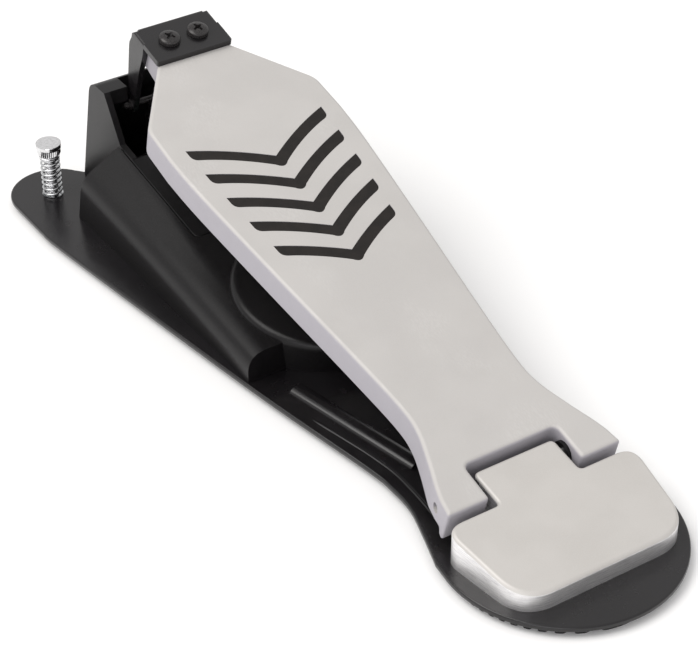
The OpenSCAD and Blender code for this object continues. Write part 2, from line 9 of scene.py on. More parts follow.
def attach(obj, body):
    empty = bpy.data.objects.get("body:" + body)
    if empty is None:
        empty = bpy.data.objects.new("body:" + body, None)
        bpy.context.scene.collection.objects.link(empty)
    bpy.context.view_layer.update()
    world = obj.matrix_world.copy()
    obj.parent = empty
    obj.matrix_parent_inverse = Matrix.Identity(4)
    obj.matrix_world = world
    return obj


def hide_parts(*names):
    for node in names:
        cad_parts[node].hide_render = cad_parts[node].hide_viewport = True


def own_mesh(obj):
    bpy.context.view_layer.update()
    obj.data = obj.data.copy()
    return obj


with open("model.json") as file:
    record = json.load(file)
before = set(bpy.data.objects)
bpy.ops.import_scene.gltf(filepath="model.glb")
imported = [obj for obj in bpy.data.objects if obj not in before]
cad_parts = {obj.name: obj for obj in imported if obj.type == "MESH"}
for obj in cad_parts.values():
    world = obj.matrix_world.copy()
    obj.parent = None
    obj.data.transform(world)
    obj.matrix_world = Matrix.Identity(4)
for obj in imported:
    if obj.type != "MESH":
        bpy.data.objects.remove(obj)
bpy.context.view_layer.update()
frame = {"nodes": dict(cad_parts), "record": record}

# Everything is modelled in millimetres and turned into metres as it is placed. x, y and z are in
# the part's frame. The footboard and what is screwed to it have a frame of their own: x stays,
# u runs along the board towards the toe, and w points up through it.

# Base plate, rubber sheets and springs
RUBBER = 3.0  # thickness of the rubber, with its ribs
BASE_TOP = 5.3
ANCHOR = (54.0, 179.0)  # x and y of the right-hand anchor bolt
SPRING_Y = 160.0

# Footboard at rest: where its own frame lies in the part's frame
TILT = math.radians(13.5)
BOARD_AT = Vector((0, -125.3, 18.5))

# Footboard, in its own frame
BOARD_TOP = 6.9
HINGE_U, HINGE_W = 3.6, -0.8
EAR_IN, EAR_OUT = 22.3, 42
EAR_U = -6.3  # heel end of the ears
NOTCH_U = 11.9  # end of the notch between the ears
TOE_U = 262.0  # toe end of the board's wide part
CHEVRONS = 5

# Toe bracket, its screws and its cross pin, in the footboard's frame
BRACKET_TOP = 9.7
BRACKET_T = 2.8
BRACKET_HW = 19.3
PIN_U, PIN_W = 284.4, -33
SCREW_X, SCREW_U = 7.3, PIN_U - 10

# Lower cover and tower
WALL = 2.5
DECK_Z, DECK_SLOPE = 19.3, 0.16  # height of the deck at y = 0, and its rise per millimetre
COVER_TOE_Y = 144.2
DISC_Y, DISC_R, DISC_RISE = 22.0, 41.0, 3.0  # the round housing on the deck
TOWER_HW = 33.5
TOWER_TOP = 63.8
TOWER_Y = 157.2  # heel side of the tower above the deck
PIT_Y = 133.0
TONGUE_Y = 74.0


def deck_z(y):
    return DECK_Z + DECK_SLOPE * y


PART = Matrix.Identity(4)
BOARD = Matrix.Translation(BOARD_AT) @ Matrix.Rotation(TILT, 4, "X")
HINGE = BOARD @ Vector((0, HINGE_U, HINGE_W))
DISC = (Matrix.Translation((0, DISC_Y, deck_z(DISC_Y)))
        @ Matrix.Rotation(math.atan(DECK_SLOPE), 4, "X"))

# Turns a bore about its own axis, so that none of its facets lies in a face of the footboard
TURN = Matrix.Rotation(math.radians(2.3), 4, "Z")


# ---- Outlines ---------------------------------------------------------------------------


def arc(cx, cy, r, a0, a1, n):
    """n steps along a circle from angle a0 to a1, in degrees."""
    angles = [math.radians(a0 + (a1 - a0) * i / n) for i in range(n + 1)]
    return [(cx + r * math.cos(a), cy + r * math.sin(a)) for a in angles]


def smooth(points, n):
    """A Catmull-Rom curve through the points, with n steps between neighbours."""
    p = [Vector(q) for q in points]
    last, out = len(p) - 1, []
    for i in range(last):
        a, b, c, d = p[max(i - 1, 0)], p[i], p[i + 1], p[min(i + 2, last)]
        for k in range(n):
            t = k / n
            out.append(0.5 * (2 * b + (c - a) * t + (2 * a - 5 * b + 4 * c - d) * t * t
                              + (3 * b - a - 3 * c + d) * t ** 3))
    return [tuple(q) for q in out + [p[last]]]


def corner(a, b, c, d, n):
    """A rounded corner at b that starts and ends a distance d from it."""
    a, b, c = Vector(a), Vector(b), Vector(c)
    s, e = b + d * (a - b).normalized(), b + d * (c - b).normalized()
    steps = [i / n for i in range(n + 1)]
    return [tuple((1 - t) ** 2 * s + 2 * t * (1 - t) * b + t * t * e) for t in steps]


def rounded(points, radii, n=6):
    """A closed outline through the points, with corner i softened over radii[i]."""
    out = []
    for i, b in enumerate(points):
        if radii[i]:
            out += corner(points[i - 1], b, points[(i + 1) % len(points)], radii[i], n)
        else:
            out.append(tuple(b))
    return out


def mirrored(half):
    """A closed outline from its right half."""
    return list(half) + [(-x, y) for x, y in reversed(half) if abs(x) > 0.01]


def tidy(loop):
    """The loop without points that repeat."""
    out = []
    for p in loop:
        if not out or (Vector(p) - Vector(out[-1])).length > 0.01:
            out.append(tuple(p))
    if (Vector(out[0]) - Vector(out[-1])).length <= 0.01:
        out.pop()
    return out


def inset(loop, d):
    """A counter-clockwise loop moved inwards by d. Edges that would turn round become a point."""
    n = len(loop)
    at = [Vector(p) for p in loop]
    along = [(at[(i + 1) % n] - at[i]).normalized() for i in range(n)]
    inward = [Vector((-u.y, u.x)) for u in along]

    def meet(a, b):
        """Where the moved edges a and b cross."""
        p, q = at[a] + d * inward[a], at[b] + d * inward[b]
        turn = along[a].cross(along[b])
        if abs(turn) < 1e-5:
            return at[b] + d * inward[b]
        return p + along[a] * ((q - p).cross(along[b]) / turn)

    out = [meet(i - 1, i) for i in range(n)]
    for _ in range(12):
        back = [(out[(i + 1) % n] - out[i]).dot(along[i]) <= 1e-6 for i in range(n)]
        before = [tuple(p) for p in out]
        for i in range(n):
            if back[i] and not back[i - 1]:
                j = i
                while back[(j + 1) % n] and j < i + n:
                    j += 1
                p = meet((i - 1) % n, (j + 1) % n)
                for k in range(i, j + 2):
                    out[k % n] = p
        if before == [tuple(p) for p in out]:
            break
    return [tuple(p) for p in out]


# ---- Solids -----------------------------------------------------------------------------


def mesh_object(verts, faces, name="tool"):
    """A mesh with its doubled points merged and its faces looking outwards."""
    me = bpy.data.meshes.new(name)
    me.from_pydata([tuple(v) for v in verts], [], faces)
    bm = bmesh.new()
    bm.from_mesh(me)
    bmesh.ops.remove_doubles(bm, verts=bm.verts, dist=1e-4)
    bmesh.ops.recalc_face_normals(bm, faces=bm.faces)
    bm.to_mesh(me)
    bm.free()
    ob = bpy.data.objects.new(name, me)
    bpy.context.scene.collection.objects.link(ob)
    return ob


def stack(rings, closed=False):
    """A solid through rings of points: its ends are faces, or the last ring joins the first."""
    n, m = len(rings[0]), len(rings)
    faces = [[j * n + i, j * n + (i + 1) % n, (j + 1) % m * n + (i + 1) % n, (j + 1) % m * n + i]
             for j in range(m if closed else m - 1) for i in range(n)]
    if not closed:
        faces += [list(range(n))[::-1], [(m - 1) * n + i for i in range(n)]]
    return mesh_object([p for ring in rings for p in ring], faces)


def slab(loop, z0, z1, top=0.0, low=0.0, steps=5):
    """An upright prism whose upper and lower edges are rounded. z0 and z1 may be functions of y."""
    loop = tidy(loop)

    def at(z, y):
        return z(y) if callable(z) else z

    quarter = [math.pi / 2 * k / steps for k in range(steps + 1)]
    rings = []
    for a in quarter if low else [math.pi / 2]:
        edge = inset(loop, low * (1 - math.sin(a))) if low else loop
        rings.append([(x, y, at(z0, y) + low * (1 - math.cos(a))) for x, y in edge])
    for a in reversed(quarter) if top else [math.pi / 2]:
        edge = inset(loop, top * (1 - math.sin(a))) if top else loop
        rings.append([(x, y, at(z1, y) - top * (1 - math.cos(a))) for x, y in edge])
    return stack(rings)


def bar(profile, x0, x1):
    """A prism along X with its profile given in y and z."""
    profile = tidy(profile)
    return stack([[(x, y, z) for y, z in profile] for x in (x0, x1)])


def block(x0, x1, y0, y1, z0, z1):
    """A plain box between two corners."""
    return slab([(x0, y0), (x1, y0), (x1, y1), (x0, y1)], z0, z1)


def turned(profile, n=48):
    """A solid turned about Z from (radius, height) points. A profile that ends where it starts
    makes a ring, and an end that is off the axis is closed with a flat face."""
    is_ring = profile[0] == profile[-1]
    verts, faces, rows = [], [], []
    for r, z in profile:
        row = []
        for i in range(n if r > 0 else 1):
            a = 2 * math.pi * i / n
            row.append(len(verts))
            verts.append((r * math.cos(a), r * math.sin(a), z))
        rows.append(row)
    for a, b in zip(rows, rows[1:]):
        for i in range(n):
            j = (i + 1) % n
            face = [a[i % len(a)], a[j % len(a)], b[j % len(b)], b[i % len(b)]]
            face = list(dict.fromkeys(face))
            if len(face) > 2:
                faces.append(face)
    if len(rows[0]) > 1 and not is_ring:
        faces.append(rows[0][::-1])
    if len(rows[-1]) > 1 and not is_ring:
        faces.append(rows[-1])
    return mesh_object(verts, faces)


def rod(r, length, n=32):
    """A cylinder from the origin along +Z."""
    return turned([(0, 0), (r, 0), (r, length), (0, length)], n)


def placed(ob, matrix):
    ob.data.transform(matrix)
    return ob


def moved(ob, x=0, y=0, z=0):
    return placed(ob, Matrix.Translation((x, y, z)))


def cross_rod(r, y, z):
    """A rod along X that reaches past both sides of the part."""
    return placed(rod(r, 120), Matrix.Translation((-60, y, z)) @ Matrix.Rotation(math.pi / 2, 4, "Y"))


def combine(ob, tool, how):
    """Changes a solid by a boolean with a tool, and removes the tool."""
    m = ob.modifiers.new("combine", "BOOLEAN")
    m.operation, m.object, m.solver = how, tool, "EXACT"
    graph = bpy.context.evaluated_depsgraph_get()
    made = bpy.data.meshes.new_from_object(ob.evaluated_get(graph))
    ob.modifiers.clear()
    ob.data = made
    bpy.data.objects.remove(tool)
    return ob


def cut(ob, *tools):
    for tool in tools:
        combine(ob, tool, "DIFFERENCE")
    return ob


def add(ob, *tools):
    for tool in tools:
        combine(ob, tool, "UNION")
    return ob


def keep(ob, *tools):
    for tool in tools:
        combine(ob, tool, "INTERSECT")
    return ob


def joined(objects):
    """Several solids that don't touch, as one object."""
    bm = bmesh.new()
    for o in objects:
        bm.from_mesh(o.data)
    first = objects[0]
    bm.to_mesh(first.data)
    bm.free()
    for o in objects[1:]:
        bpy.data.objects.remove(o)
    return first


def finished(ob, name, body, slot, material, replaces=(), matrix=PART, bevel=0.0, sharp=38):
    """Turns a modelled piece into metres, hangs it on the body it rides on, and hides the CAD parts it
    replaces.
    """
    ob.name = ob.data.name = name
    ob.data.transform(Matrix.Scale(0.001, 4) @ matrix)
    ob.data.materials.clear()
    ob.data.materials.append(material)
    for p in ob.data.polygons:
        p.use_smooth = True
    ob.data.set_sharp_from_angle(angle=math.radians(sharp))
    if bevel:
        b = ob.modifiers.new("edges", "BEVEL")
        b.width, b.segments, b.limit_method = bevel * 0.001, 3, "ANGLE"
        b.angle_limit, b.use_clamp_overlap = math.radians(sharp), True
    w = ob.modifiers.new("normals", "WEIGHTED_NORMAL")
    w.keep_sharp = True
    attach(ob, body)
    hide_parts(*(replaces or (name,)))
    return ob


# ---- Materials --------------------------------------------------------------------------


class Shader:
    """A procedural material, built from textures on the piece's own coordinates."""

    def __init__(self, name, colour, metallic=0.0, roughness=0.5, **sockets):
        self.material = bpy.data.materials.new(name)
        self.material.use_nodes = True
        self.tree = self.material.node_tree
        self.bsdf = self.tree.nodes["Principled BSDF"]
        self.bsdf.inputs["Base Color"].default_value = (*colour, 1)
        self.bsdf.inputs["Metallic"].default_value = metallic
        self.bsdf.inputs["Roughness"].default_value = roughness
        for key, value in sockets.items():
            self.bsdf.inputs[key.replace("_", " ")].default_value = value
        self.coords = self.tree.nodes.new("ShaderNodeTexCoord")
        self.normal = None
        self.material.diffuse_color = (*colour, 1)

    def node(self, kind, links=(), **values):
        n = self.tree.nodes.new(kind)
        for key, value in values.items():
            setattr(n, key, value)
        for key, value in dict(links).items():
            if isinstance(value, bpy.types.NodeSocket):
                self.tree.links.new(value, n.inputs[key])
            else:
                n.inputs[key].default_value = value
        return n

    def stretched(self, size):
        """Object coordinates divided by the size of the texture's features, in millimetres."""
        m = self.node("ShaderNodeMapping", {"Vector": self.coords.outputs["Object"]})
        m.inputs["Scale"].default_value = [1000 / s for s in size]
        return m.outputs["Vector"]

    def noise(self, size, detail=2.0, rough=0.5, distortion=0.0):
        """Noise whose features have this size in millimetres, or one size for each axis."""
        size = size if hasattr(size, "__len__") else (size, size, size)
        return self.node("ShaderNodeTexNoise", {
            "Vector": self.stretched(size), "Scale": 1.0, "Detail": detail,
            "Roughness": rough, "Distortion": distortion}).outputs["Fac"]

    def cells(self, size, feature="F1"):
        n = self.node("ShaderNodeTexVoronoi", {
            "Vector": self.stretched((size, size, size)), "Scale": 1.0}, feature=feature)
        return n.outputs["Distance"]

    def spread(self, value, lo, hi, to_lo=0.0, to_hi=1.0):
        """The value's range from lo to hi, eased onto the range from to_lo to to_hi."""
        return self.node("ShaderNodeMapRange", {
            "Value": value, "From Min": lo, "From Max": hi, "To Min": to_lo, "To Max": to_hi},
            clamp=True, interpolation_type="SMOOTHSTEP").outputs["Result"]

    def times(self, a, b, how="MULTIPLY"):
        """The product of two values, or what another operation makes of them."""
        n = self.node("ShaderNodeMath", operation=how)
        for socket, value in zip(n.inputs, (a, b)):
            if isinstance(value, bpy.types.NodeSocket):
                self.tree.links.new(value, socket)
            else:
                socket.default_value = value
        return n.outputs[0]

    def mix(self, fac, a, b):
        """Colour a where fac is 0 and colour b where it is 1."""
        n = self.tree.nodes.new("ShaderNodeMix")
        n.data_type = "RGBA"
        # Inputs 0, 6 and 7 and output 2 are the ones a colour mix uses
        for index, value in ((0, fac), (6, a), (7, b)):
            if isinstance(value, bpy.types.NodeSocket):
                self.tree.links.new(value, n.inputs[index])
            else:
                n.inputs[index].default_value = (*value, 1) if hasattr(value, "__len__") else value
        return n.outputs[2]

    def side_mask(self, lo=0.5, hi=0.9):
        """1 on walls and 0 on faces that look up or down."""
        parts = self.node("ShaderNodeSeparateXYZ", {"Vector": self.coords.outputs["Normal"]})
        upright = self.times(parts.outputs["Z"], 0.0, "ABSOLUTE")
        return self.spread(upright, lo, hi, 1.0, 0.0)

    def bump(self, height, distance, strength=1.0):
        links = {"Height": height, "Distance": distance * 0.001, "Strength": strength}
        if self.normal:
            links["Normal"] = self.normal
        self.normal = self.node("ShaderNodeBump", links).outputs["Normal"]
        return self

    def use(self, **sockets):
        for key, value in sockets.items():
            self.tree.links.new(value, self.bsdf.inputs[key.replace("_", " ")])
        return self

    def done(self):
        if self.normal:
            self.tree.links.new(self.normal, self.bsdf.inputs["Normal"])
        return self.material


def silver_board():
    """Satin metallic paint with fine flakes and faint streaks along the board, and painted shade that
    makes the walls darker.
    """
    s = Shader("silver_board", (0.53, 0.51, 0.49), metallic=0.1, roughness=0.55)
    flakes = s.noise(0.35, 3, 0.7)
    clouds = s.noise(38, 3, 0.55)
    tone = s.mix(s.spread(clouds, 0.35, 0.65), (0.462, 0.446, 0.431), (0.490, 0.473, 0.457))
    tone = s.mix(s.spread(flakes, 0.3, 0.7, 0.0, 0.35), tone, (0.54, 0.525, 0.51))
    streaks = s.noise((0.5, 24, 0.5), 3, 0.6)
    patches = s.spread(s.noise(30, 2), 0.52, 0.68)
    lines = s.times(s.spread(streaks, 0.45, 0.6), patches)
    tone = s.mix(s.times(lines, 0.3), tone, (0.58, 0.565, 0.55))
    # Painted shade: the walls get a darker, cooler colour than the top, standing in for the weaker light
    # they catch.
    s.use(Base_Color=s.mix(s.side_mask(0.2, 0.75), tone, (0.375, 0.36, 0.39)),
          Roughness=s.spread(s.noise(6, 3), 0.3, 0.7, 0.52, 0.62))
    s.bump(flakes, 0.012, 0.5)
    s.bump(lines, 0.006, 0.5)
    return s.done()


def cast_aluminium():
    """Blasted and dull on top, brushed along the walls."""
    s = Shader("cast_aluminium", (0.56, 0.54, 0.515), metallic=0.25, roughness=0.5)
    walls = s.side_mask(0.12, 0.4)
    flakes = s.noise(0.4, 3, 0.7)
    clouds = s.noise(30, 3, 0.55)
    top = s.mix(s.spread(clouds, 0.35, 0.65), (0.51, 0.49, 0.465), (0.54, 0.52, 0.495))
    top = s.mix(s.spread(flakes, 0.3, 0.7, 0.0, 0.3), top, (0.61, 0.59, 0.57))
    brushed = s.noise((7, 7, 0.22), 4, 0.7, 0.3)
    wide = s.noise((3, 3, 1.4), 3, 0.6)
    wall = s.mix(s.spread(brushed, 0.38, 0.62), (0.64, 0.63, 0.64), (0.98, 0.97, 0.97))
    wall = s.mix(s.spread(wide, 0.35, 0.7, 0.0, 0.45), wall, (0.90, 0.89, 0.88))
    s.use(Base_Color=s.mix(walls, top, wall),
          Metallic=s.spread(walls, 0.0, 1.0, 0.25, 0.85),
          Roughness=s.spread(s.times(walls, s.spread(brushed, 0.3, 0.7, 0.6, 1.0)), 0, 1, 0.5, 0.36))
    s.bump(flakes, 0.012, 0.5)
    s.bump(s.times(brushed, walls), 0.05, 0.7)
    return s.done()


def black_steel():
    s = Shader("black_sheet_steel", (0.007, 0.0063, 0.007), roughness=0.24)
    peel = s.noise(1.6, 2, 0.5)
    grit = s.noise(0.25, 2, 0.6)
    s.use(Base_Color=s.mix(s.spread(s.noise(50, 3), 0.35, 0.65), (0.006, 0.0053, 0.006),
                           (0.009, 0.008, 0.009)),
          Roughness=s.spread(s.noise(9, 4, 0.6), 0.3, 0.7, 0.20, 0.28))
    s.bump(peel, 0.012, 0.35)
    s.bump(grit, 0.006, 0.4)
    return s.done()


def black_moulding():
    s = Shader("black_moulding", (0.006, 0.0053, 0.006), roughness=0.35)
    s.bsdf.inputs["Specular IOR Level"].default_value = 0.26
    grain = s.noise(0.55, 3, 0.65)
    pits = s.cells(0.7, "SMOOTH_F1")
    s.use(Base_Color=s.mix(s.spread(grain, 0.4, 0.7), (0.004, 0.0036, 0.004),
                           (0.009, 0.008, 0.0088)),
          Roughness=s.spread(grain, 0.35, 0.65, 0.30, 0.42))
    s.bump(grain, 0.05, 0.5)
    s.bump(pits, 0.03, 0.35)
    return s.done()


def grip():
    s = Shader("grip_grey", (0.015, 0.012, 0.010), roughness=0.62)
    s.bsdf.inputs["Specular IOR Level"].default_value = 0.3
    grain = s.noise(0.4, 3, 0.6)
    s.use(Base_Color=s.mix(s.spread(s.noise(5, 3), 0.35, 0.65), (0.008, 0.006, 0.005),
                           (0.012, 0.009, 0.0075)),
          Roughness=s.spread(grain, 0.3, 0.7, 0.55, 0.7))
    return s.bump(grain, 0.03, 0.4).done()


def plated(name, colour, roughness, wear):
    """A plated metal with a faint haze. wear is the strength of its fine bumps."""
    s = Shader(name, colour, metallic=1.0, roughness=roughness)
    haze = s.noise(1.2, 3, 0.6)
    darker = tuple(c * 0.86 for c in colour)
    s.use(Base_Color=s.mix(s.spread(haze, 0.35, 0.65), darker, colour),
          Roughness=s.spread(haze, 0.3, 0.7, roughness * 0.7, roughness * 1.5))
    return s.bump(s.noise(0.3, 2), 0.01, wear).done()


def black_screw():
    s = Shader("black_screw_steel", (0.022, 0.020, 0.021), metallic=0.2, roughness=0.26)
    haze = s.noise(0.6, 3, 0.6)
    s.use(Base_Color=s.mix(s.spread(haze, 0.4, 0.7), (0.018, 0.0165, 0.017),
                           (0.034, 0.030, 0.030)),
          Roughness=s.spread(haze, 0.3, 0.7, 0.2, 0.36))
    return s.bump(haze, 0.02, 0.3).done()


def rubber():
    s = Shader("black_rubber", (0.012, 0.0115, 0.012), roughness=0.78)
    grain = s.noise(0.35, 3, 0.7)
    s.use(Base_Color=s.mix(s.spread(s.noise(4, 3), 0.35, 0.65), (0.010, 0.0095, 0.010),
                           (0.018, 0.017, 0.0175)),
          Roughness=s.spread(grain, 0.3, 0.7, 0.7, 0.88))
    return s.bump(grain, 0.04, 0.5).done()


def nylon():
    s = Shader("white_nylon", (0.74, 0.72, 0.65), roughness=0.45)
    s.bsdf.inputs["Subsurface Weight"].default_value = 0.15
    s.bsdf.inputs["Subsurface Radius"].default_value = (0.002, 0.002, 0.0015)
    s.use(Base_Color=s.mix(s.spread(s.noise(4, 3), 0.35, 0.65), (0.70, 0.68, 0.61),
                           (0.77, 0.755, 0.69)))
    return s.bump(s.noise(0.5, 2), 0.02, 0.3).done()


def circuit():
    s = Shader("circuit_green", (0.010, 0.075, 0.035), roughness=0.3)
    tracks = s.cells(3.2, "DISTANCE_TO_EDGE")
    s.use(Base_Color=s.mix(s.spread(tracks, 0.05, 0.09), (0.030, 0.15, 0.07),
                           (0.009, 0.07, 0.032)))
    return s.bump(tracks, 0.03, 0.3).done()


def amber():
    s = Shader("amber_film", (0.55, 0.30, 0.06), roughness=0.3)
    s.use(Base_Color=s.mix(s.spread(s.noise(2, 3), 0.35, 0.65), (0.48, 0.25, 0.05),
                           (0.60, 0.34, 0.08)))
    return s.bump(s.noise(0.8, 2), 0.01, 0.2).done()


MATERIALS = {
    "silver_board": silver_board(),
    "cast_aluminium": cast_aluminium(),
    "black_sheet_steel": black_steel(),
    "black_moulding": black_moulding(),
    "grip_grey": grip(),
    "chrome_steel": plated("chrome_steel", (0.80, 0.80, 0.81), 0.09, 0.15),
    "zinc_steel": plated("zinc_steel", (0.66, 0.67, 0.68), 0.2, 0.3),
    "black_screw_steel": black_screw(),
    "black_rubber": rubber(),
    "white_nylon": nylon(),
    "circuit_green": circuit(),
    "amber_film": amber(),
}

# Every CAD node takes the material of its slot. Those that a modelled piece replaces are hidden.
for part in frame["record"]["subparts"]:
    node = frame["nodes"][part["node"]]
    node.data.materials.clear()
    node.data.materials.append(MATERIALS[part["material_slot"]])


def place(ob, name, body, slot, **options):
    """Finishes a piece with the material of its slot."""
    return finished(ob, name, body, slot, MATERIALS[slot], **options)


# ---- Base plate and rubber --------------------------------------------------------------


def base_half():
    """Right half of the plate: round heel, narrow waist, flared sides and a lobe at the anchor."""
    heel_y = -149.5
    return (
        arc(0, heel_y, 50.5, -90, 5, 44)
        + smooth([(49.1, heel_y + 14), (43.75, -119), (39.55, -104), (38.75, -90), (40.45, -72),
                  (53, 0), (71.4, 128), (73.7, 152)], 9)
        + arc(53, 179, 21, 0, 144, 36)
        + smooth([(32.6, 187.4), (26, 187.6), (0, 187.8)], 6))


BASE = tidy(mirrored(base_half()))


def ridge(points, half_w, height, tapered):
    """A low rounded ridge along a path on the plate, with ends that may taper."""
    path = [Vector(p) for p in smooth(points, 10)]
    foot = BASE_TOP - 1
    rings, n = [], 10
    for i, p in enumerate(path):
        t = (path[min(i + 1, len(path) - 1)] - path[max(i - 1, 0)]).normalized()
        side = Vector((t.y, -t.x))
        share = min(1.0, min(i, len(path) - 1 - i) / 3 + 0.12) if tapered else 1.0
        ring = []
        for k in range(n + 1):
            a = math.pi * k / n
            q = p + side * half_w * share * math.cos(a)
            ring.append((q.x, q.y, BASE_TOP + height * share * math.sin(a)))
        ring += [(ring[-1][0], ring[-1][1], foot), (ring[0][0], ring[0][1], foot)]
        rings.append(ring)
    return stack(rings)


def base_plate():
    ob = slab(BASE, RUBBER, BASE_TOP, top=0.8, low=0.5)
    bead = [(37, -15), (33.9, -29.2), (29.5, -49.5), (26, -65.5), (22, -84)]
    fine_line = [(42, -36), (38, -53), (34.7, -68), (32.5, -83), (32.6, -96), (33.3, -106), (34.3, -116)]
    nut_hole_r = 5
    for s in (-1, 1):
        add(ob, ridge([(s * x, y) for x, y in bead], 4.0, 2.1, tapered=False))
        add(ob, ridge([(s * x, y) for x, y in fine_line], 0.8, 0.45, tapered=True))
        cut(ob, moved(rod(nut_hole_r, 20), s * ANCHOR[0], ANCHOR[1]))
    place(ob, "base_sheet", "base", "black_sheet_steel", replaces=["base_plate"])


def rubber_profile(y0, y1, pitch=4.3, rib=2.5):
    """Side view of the ribbed sheet: a plain top, and ribs with soft corners below."""
    root, foot, draft, soft = 1.9, 0.02, 0.15, 0.7
    low, y = [], y0
    while y + rib <= y1:
        start, end = (y, root), (y + rib, root)
        near, far = (y + draft, foot), (y + rib - draft, foot)
        low += [start] + corner(start, near, far, soft, 4) + corner(near, far, end, soft, 4) + [end]
        y += pitch
    return low + [(y1, root), (y1, RUBBER), (y0, RUBBER)]


def rubber_sheets():
    heel = keep(bar(rubber_profile(-197.6, -96), -60, 60), slab(inset(BASE, 2.4), -1, RUBBER))
    place(heel, "heel_rubber_sheet", "base", "black_rubber", replaces=["heel_rubber"])
    toe = keep(bar(rubber_profile(132, 198), -90, 90), slab(inset(BASE, 3), -1, RUBBER))
    cut(toe, block(-27, 27, 120, 220, -1, 9))
    for s in (-1, 1):
        cut(toe, moved(rod(8, 20), s * ANCHOR[0], ANCHOR[1], -1))
    place(toe, "toe_rubber_sheets", "base", "black_rubber", replaces=["toe_rubber"])


# ---- Heel plate -------------------------------------------------------------------------


def heel_plate():
    front, back, hw = -135.3, -179.2, 46.0
    back_hw = hw - 6
    tongue, tip = 19.6, -117.4
    half = (
        [(0, back)] + corner((0, back), (back_hw, back), (hw, front), 15, 16)
        + corner((back_hw, back), (hw, front), (tongue, front), 9, 12)
        + corner((hw, front), (tongue, front), (tongue, tip), 2, 5)
        + corner((tongue, front), (tongue, tip), (0, tip), 3, 8) + [(0, tip)])

    def top(y):
        """The wedge's upper face, which climbs 10 mm over its length of 61.8 mm."""
        return BASE_TOP + 18.8 + (y - tip) * 10 / 61.8

    ob = slab(mirrored(half), BASE_TOP, top, top=1.7, steps=6)
    shaft_hole_r = 2.55
    cut(ob, cross_rod(shaft_hole_r, HINGE.y, HINGE.z))
    place(ob, "heel_plate_casting", "base", "cast_aluminium", replaces=["heel_plate"])


# ---- Footboard --------------------------------------------------------------------------


def board_side():
    """Right side of the board seen from above, from the end of its ear round to its toe tongue."""
    widest = (43.9, 208)
    return (
        corner((30, EAR_U), (EAR_OUT, EAR_U), (40.9, -2.5), 1.8, 6)
        + smooth([(40.5, 1.6), (38.6, 7.8), (33.8, 21), (29.9, 34), (29.1, 47), (31.6, 76),
                  (37.4, 131), (42.6, 184), widest], 10)
        + corner(widest, (43.4, 229), (18.4, TOE_U), 4, 10)
        + [(17.6, TOE_U + 4), (16.4, 276.5), (16.2, 284.6), (0, 284.6)])


def board_outline():
    half = (
        [(0, NOTCH_U)] + corner((0, NOTCH_U), (EAR_IN, NOTCH_U), (EAR_IN, EAR_U), 3.4, 8)
        + corner((EAR_IN, NOTCH_U), (EAR_IN, EAR_U), (EAR_OUT, EAR_U), 1.8, 4) + board_side())
    return tidy(mirrored(half))


def board_profile():
    """Side view: a rounded lip under the end of the ears, and a deeper part round the hinge."""
    heel, toe, above, skirt = -9, 400, BOARD_TOP + 3, -6.1
    lip = arc(-4.6, -6.8, 1.72, 180, 360, 18)
    under = smooth([(-2.2, -5.4), (0, -5.3), (5, -6.3), (10, -7.6), (16, -7.3), (25, -6.6),
                    (46, skirt), (60, skirt)], 6)
    return [(toe, above), (heel, above), (heel, -5)] + lip + under + [(toe, skirt)]


def chevron(i):
    """Outline of grip chevron i, counted from the toe: from its apex out to a tip and back."""
    apex = 184.7 - 15.6 * i
    tip = 34.8 - 0.5 * i - 0.22 * i * i
    f = 1 - 0.012 * i  # those nearer the heel are a little flatter

    def heel_edge(x):
        return f * (0.79 * x - 0.0065 * x * x) - 0.3

    def toe_edge(x):
        return f * (0.71 * x - 0.0048 * x * x) + 6.9

    half = [(0, 0), (1, 0.25), (2, 0.9)]
    half += [(x, heel_edge(x)) for x in [3 + (tip - 8) * k / 12 for k in range(13)]]
    half += corner((tip - 5, heel_edge(tip - 5)), (tip - 0.3, heel_edge(tip - 0.3)),
                   (tip, toe_edge(tip)), 2.8, 8)
    half += [(x, toe_edge(x)) for x in [tip * k / 16 for k in range(16, -1, -1)]]
    return tidy(mirrored([(x, u + apex) for x, u in half]))


def board_hollow():
    """The hollow under the board's skin, without the ribs and the two screw bosses."""
    skirt, ceiling, low = 3, 3.7, -30
    within = [(0, 14.4)] + [(x, u) for x, u in board_side() if u > 15]
    hollow = slab(inset(tidy(mirrored(within)), skirt), low, ceiling)
    ribs = [block(-60, 60, u, u + 2.4, low - 1, 20) for u in (70, 105, 196, 232)]
    ribs += [block(s * 14 - 1.2, s * 14 + 1.2, 0, 130, low - 1, 20) for s in (-1, 1)]
    ribs += [moved(rod(4.2, 30), s * 8, SCREW_U, -4) for s in (-1, 1)]
    return cut(hollow, *ribs)


def hinge_bore():
    """The bore in an ear, along +Z: wide round the bush, and narrow through the outer wall."""
    bush_r, end_r, bush_end = 3.8, 2.2, EAR_IN + 15
    return turned([(0, 20), (bush_r, 20), (bush_r, bush_end), (end_r, bush_end), (end_r, 60), (0, 60)], 40)


def footboard():
    ob = slab(board_outline(), -20, BOARD_TOP, top=1.8, steps=6)
    keep(ob, bar(board_profile(), -100, 100))
    cut(ob, board_hollow())
    screw_hole_r = 2.2
    for s in (-1, 1):
        screw_hole = moved(rod(screw_hole_r, 30), s * SCREW_X, SCREW_U, -2)
        across = Matrix.Translation((0, HINGE_U, HINGE_W)) @ Matrix.Rotation(s * math.pi / 2, 4, "Y")
        cut(ob, screw_hole, placed(hinge_bore(), across @ TURN))
    recess = BOARD_TOP - 0.8
    for i in range(CHEVRONS):
        cut(ob, slab(chevron(i), recess, BOARD_TOP + 3))
    place(ob, "footboard_casting", "footboard", "silver_board", replaces=["footboard"], matrix=BOARD)
    inlays = joined([slab(inset(chevron(i), 0.03), recess, BOARD_TOP - 0.12, top=0.25, steps=3)
                     for i in range(CHEVRONS)])
    place(inlays, "grip_chevrons", "footboard", "grip_grey", replaces=["chevron_inlays"], matrix=BOARD)


# ---- Toe bracket and its screws ---------------------------------------------------------


